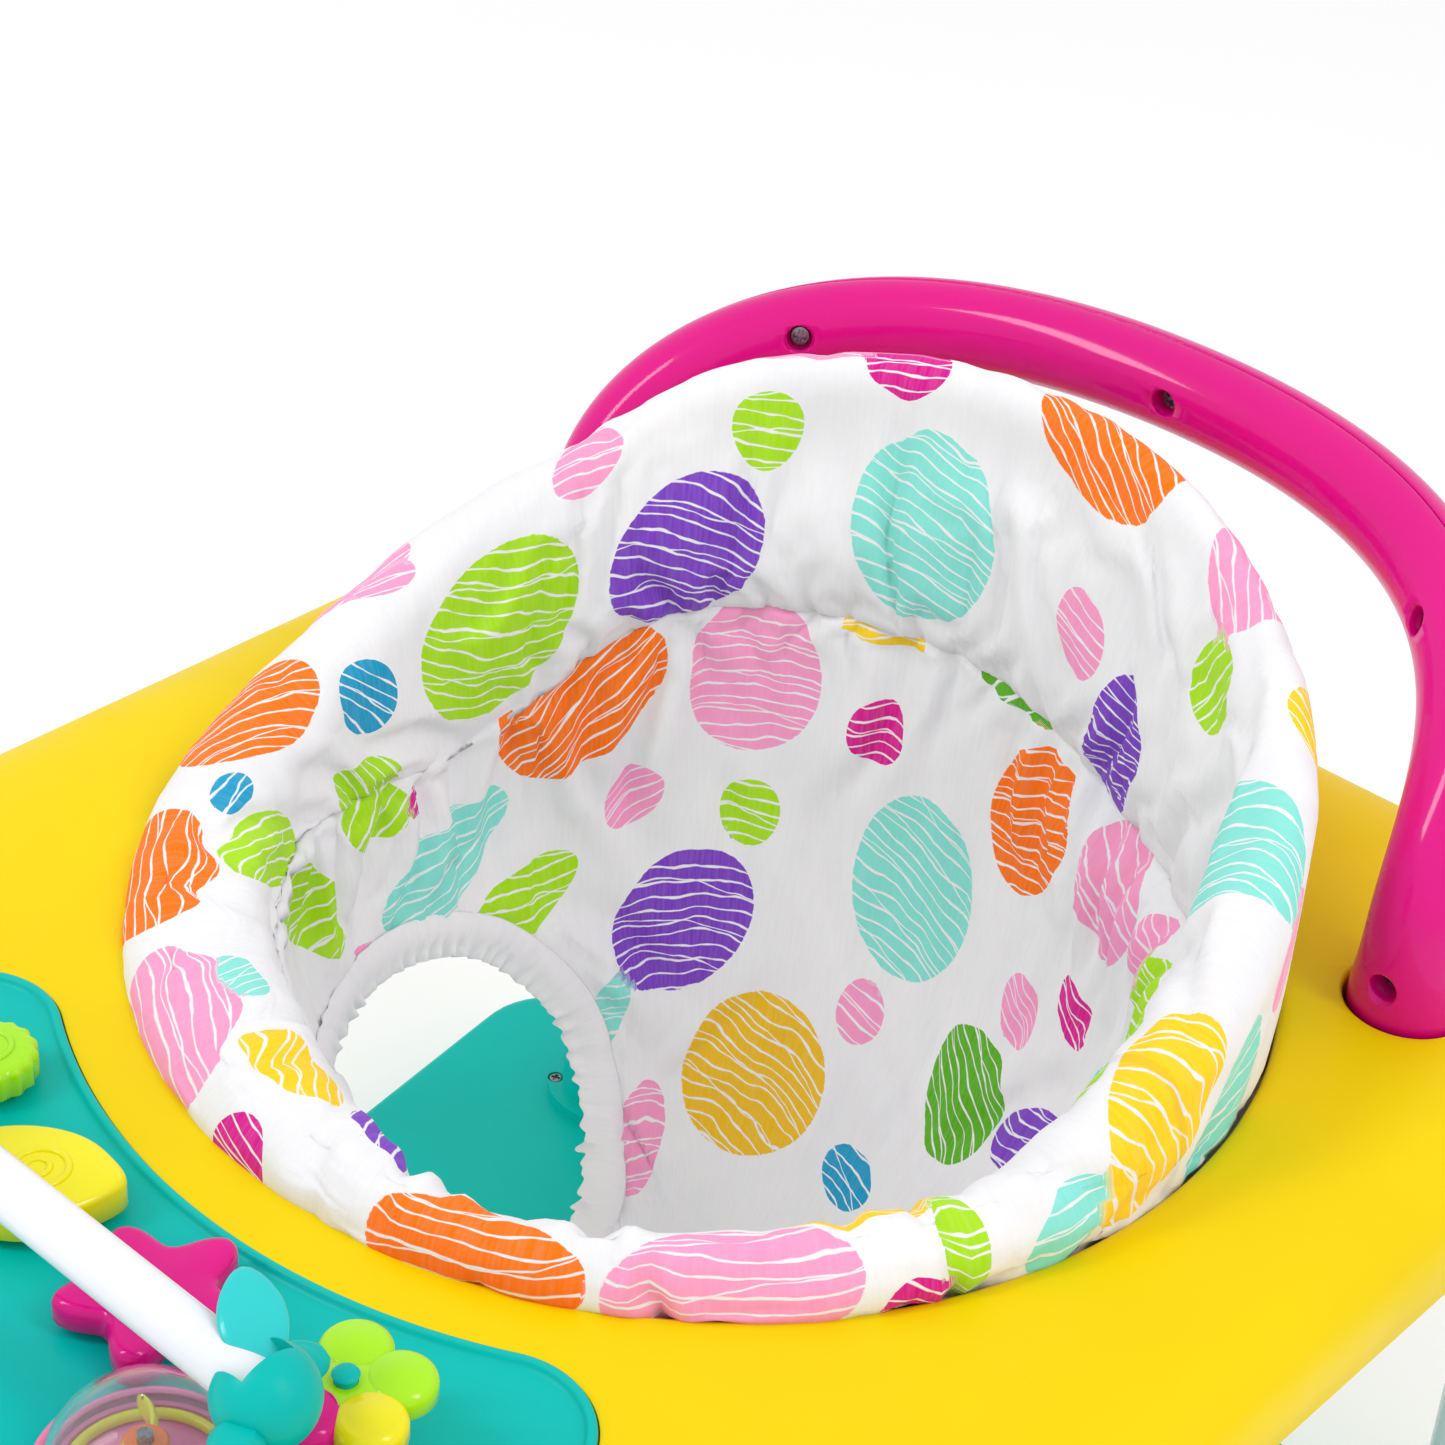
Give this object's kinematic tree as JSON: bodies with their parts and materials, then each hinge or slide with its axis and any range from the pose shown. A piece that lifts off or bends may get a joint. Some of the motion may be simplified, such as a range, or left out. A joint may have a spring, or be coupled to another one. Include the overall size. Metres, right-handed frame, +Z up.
{
  "type": "activity jumper",
  "caption": "Baby activity jumper: a padded swivel seat in a sprung, height-adjustable tray with toys, a carry handle and a wide base platform.",
  "frame": {"origin": "on the floor, under the middle of the whole object's box", "axes": "+Z up, -Y towards the toy tray at the front, +Y towards the carry handle at the back, +X completes a right-handed frame"},
  "size_m": [0.57, 0.5689, 0.4585],
  "materials": {
    "yellow_shell": "moulded polypropylene, satin gloss with a very fine texture",
    "teal_plastic": "moulded plastic, satin gloss",
    "magenta_plastic": "smooth glossy moulded plastic",
    "white_plastic": "smooth glossy moulded plastic",
    "white_tube": "powder-coated steel tube",
    "lime_plastic": "smooth glossy moulded plastic",
    "lemon_plastic": "smooth glossy moulded plastic",
    "orange_plastic": "smooth glossy moulded plastic",
    "pink_plastic": "smooth glossy moulded plastic",
    "clear_plastic": "clear polished plastic",
    "grey_plastic": "plain moulded plastic, matte",
    "post_steel": "drawn steel tube, brushed",
    "screw_steel": "zinc-plated steel",
    "spring_steel": "spring steel wire, oiled",
    "rubber_grip": "dark grey soft rubber, matte",
    "silicone": "translucent silicone rubber",
    "print_cotton": "white cotton printed with striped dots, lightly padded",
    "trim_cotton": "white elastic cotton binding",
    "board": "stiff polyethylene sheet",
    "battery_skin": "plain battery sleeve"
  },
  "bodies": {
    "base": {"base_platform": "teal_plastic", "rubber_feet": "rubber_grip", "socket_screws": "screw_steel", "tube_collars": "teal_plastic", "post_socket_front_left": "teal_plastic", "post_socket_front_right": "teal_plastic", "post_socket_back_left": "teal_plastic", "post_socket_back_right": "teal_plastic", "lower_tube_front_left": "white_tube", "lower_tube_front_right": "white_tube", "lower_tube_back_left": "white_tube", "lower_tube_back_right": "white_tube", "bounce_spring_front_left": "spring_steel", "bounce_spring_front_right": "spring_steel", "bounce_spring_back_left": "spring_steel", "bounce_spring_back_right": "spring_steel"},
    "posts": {"post_plungers": "grey_plastic", "inner_post_front_left": "post_steel", "inner_post_front_right": "post_steel", "inner_post_back_left": "post_steel", "inner_post_back_right": "post_steel"},
    "tray": {"tray_top": "yellow_shell", "tray_underside": "yellow_shell", "tray_screws": "screw_steel", "lock_springs": "spring_steel", "handle_front_shell": "magenta_plastic", "handle_back_shell": "magenta_plastic", "handle_screws": "screw_steel"},
    "seat": {"seat_ring": "white_plastic", "ring_retainer": "white_plastic", "ring_screws": "screw_steel", "seat_collar": "print_cotton", "collar_board": "board", "seat_bucket": "print_cotton", "leg_cuff_left": "trim_cotton", "leg_cuff_right": "trim_cotton", "seat_hooks": "white_plastic"},
    "toy_station": {"toy_tray": "teal_plastic", "sound_box": "grey_plastic", "battery_door": "grey_plastic", "battery_door_screw": "screw_steel", "batteries": "battery_skin", "button_pads": "silicone", "toy_bar": "white_plastic", "bar_clip_left": "teal_plastic", "bar_clip_right": "teal_plastic", "flower_stem": "teal_plastic", "dome_cover": "clear_plastic", "dome_ring": "pink_plastic", "dome_pin": "screw_steel"},
    "star_button": {"star_button": "magenta_plastic"},
    "leaf_button": {"leaf_button": "lemon_plastic"},
    "dial_button": {"dial_button": "lime_plastic"},
    "flower_spinner": {"flower_spinner": "lime_plastic"},
    "dome_whirl": {"dome_whirl": "orange_plastic"},
    "lock_button_front_left": {"lock_button_front_left": "magenta_plastic"},
    "lock_button_front_right": {"lock_button_front_right": "magenta_plastic"},
    "lock_button_back_left": {"lock_button_back_left": "magenta_plastic"},
    "lock_button_back_right": {"lock_button_back_right": "magenta_plastic"}
  },
  "joints": [
    {"name": "bounce", "type": "slide", "parent": "base", "child": "posts", "axis": [0, 0, 1], "range_m": [-0.045, 0], "stiffness_N_per_m": 2300, "springref_m": 0.032, "deforming": ["bounce_spring_front_left", "bounce_spring_front_right", "bounce_spring_back_left", "bounce_spring_back_right"]},
    {"name": "height_adjust", "type": "slide", "parent": "posts", "child": "tray", "axis": [0, 0, 1], "range_m": [0, 0.05]},
    {"name": "seat_swivel", "type": "hinge", "parent": "tray", "child": "seat", "pos_m": [0, 0.041, 0.34], "axis": [0, 0, 1], "continuous": true},
    {"name": "toy_station_lift", "type": "slide", "parent": "tray", "child": "toy_station", "axis": [0, 0, 1], "range_m": [0, 0.06]},
    {"name": "lock_press_front_left", "type": "slide", "parent": "tray", "child": "lock_button_front_left", "axis": [0, 1, 0], "range_m": [0, 0.003], "stiffness_N_per_m": 300, "springref_m": -0.003},
    {"name": "lock_press_front_right", "type": "slide", "parent": "tray", "child": "lock_button_front_right", "axis": [0, 1, 0], "range_m": [0, 0.003], "stiffness_N_per_m": 300, "springref_m": -0.003},
    {"name": "lock_press_back_left", "type": "slide", "parent": "tray", "child": "lock_button_back_left", "axis": [0, -1, 0], "range_m": [0, 0.003], "stiffness_N_per_m": 300, "springref_m": -0.003},
    {"name": "lock_press_back_right", "type": "slide", "parent": "tray", "child": "lock_button_back_right", "axis": [0, -1, 0], "range_m": [0, 0.003], "stiffness_N_per_m": 300, "springref_m": -0.003},
    {"name": "star_press", "type": "slide", "parent": "toy_station", "child": "star_button", "axis": [0, 0, -1], "range_m": [0, 0.003], "stiffness_N_per_m": 300, "springref_m": -0.003},
    {"name": "leaf_press", "type": "slide", "parent": "toy_station", "child": "leaf_button", "axis": [0, 0, -1], "range_m": [0, 0.003], "stiffness_N_per_m": 300, "springref_m": -0.003},
    {"name": "dial_press", "type": "slide", "parent": "toy_station", "child": "dial_button", "axis": [0, 0, -1], "range_m": [0, 0.003], "stiffness_N_per_m": 300, "springref_m": -0.003},
    {"name": "flower_spin", "type": "hinge", "parent": "toy_station", "child": "flower_spinner", "pos_m": [0.092, -0.188, 0.358], "axis": [0, 0, 1], "continuous": true},
    {"name": "whirl_spin", "type": "hinge", "parent": "toy_station", "child": "dome_whirl", "pos_m": [0.063, -0.227, 0.345], "axis": [0, 0, 1], "continuous": true}
  ]
}
